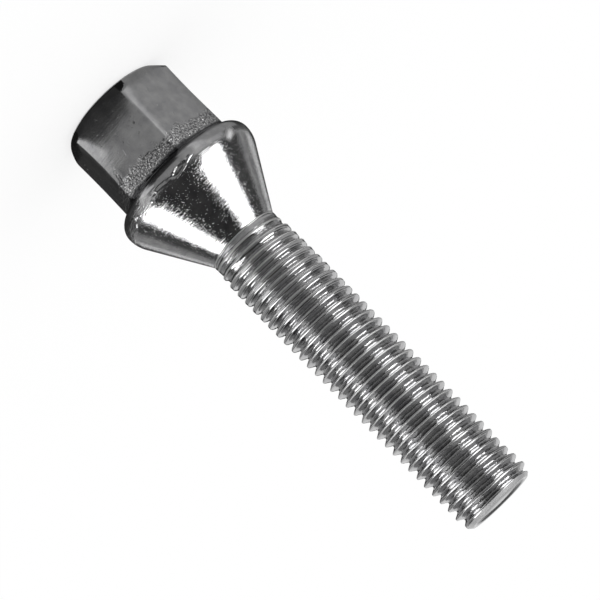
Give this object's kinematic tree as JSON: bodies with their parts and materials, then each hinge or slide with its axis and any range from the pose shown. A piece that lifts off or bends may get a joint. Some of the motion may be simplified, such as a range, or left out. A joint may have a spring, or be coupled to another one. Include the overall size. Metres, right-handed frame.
{
  "type": "wheel bolt",
  "caption": "Forged steel wheel bolt with a hex head, a round collar, a conical seat and a long rolled thread.",
  "frame": {"origin": "centre of the head's flat end face, on which the bolt stands", "axes": "+Z along the bolt's axis from the head to the thread's tip, +X through a corner of the hex, and +Y and -Y out of two opposite flats of the hex"},
  "size_m": [0.0222, 0.0222, 0.0756],
  "materials": {
    "plated_steel": "bright zinc plating over forged, turned and rolled steel, satin on the hex and bright on the seat and thread"
  },
  "bodies": {
    "root": {"wheel_bolt": "plated_steel"}
  },
  "joints": []
}
